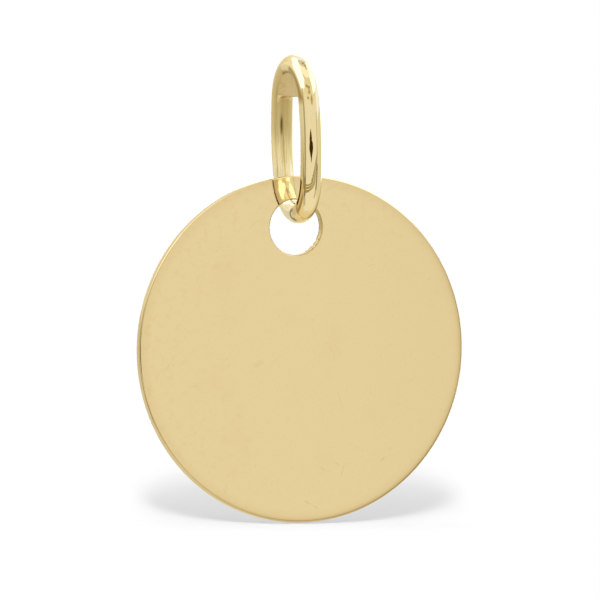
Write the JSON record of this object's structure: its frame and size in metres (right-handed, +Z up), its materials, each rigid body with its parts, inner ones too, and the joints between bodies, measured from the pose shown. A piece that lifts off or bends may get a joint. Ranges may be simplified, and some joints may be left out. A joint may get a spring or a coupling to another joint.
{
  "type": "disc pendant on an oval ring bail",
  "caption": "Flat round polished gold disc with a drilled hole near its edge, hanging on an oval wire ring that a chain runs through.",
  "frame": {"origin": "inside top of the oval bail, where a chain lies under the solder that fills the top bend", "axes": "+Z up, along the way the pendant hangs; the disc faces -Y and lies parallel to X and Z, and the bail stands along Y and Z, across the disc"},
  "size_m": [0.012, 0.0036, 0.0162],
  "materials": {
    "disc_gold": null,
    "ring_gold": null
  },
  "bodies": {
    "bail": {"bail_ring": "ring_gold"},
    "pendant": {"disc": "disc_gold"}
  },
  "joints": [
    {"name": "disc_swing", "type": "hinge", "parent": "bail", "child": "pendant", "pos_m": [0, 0.00014, -0.00398], "axis": [0, 1, 0], "range_deg": [-90, 90]}
  ]
}
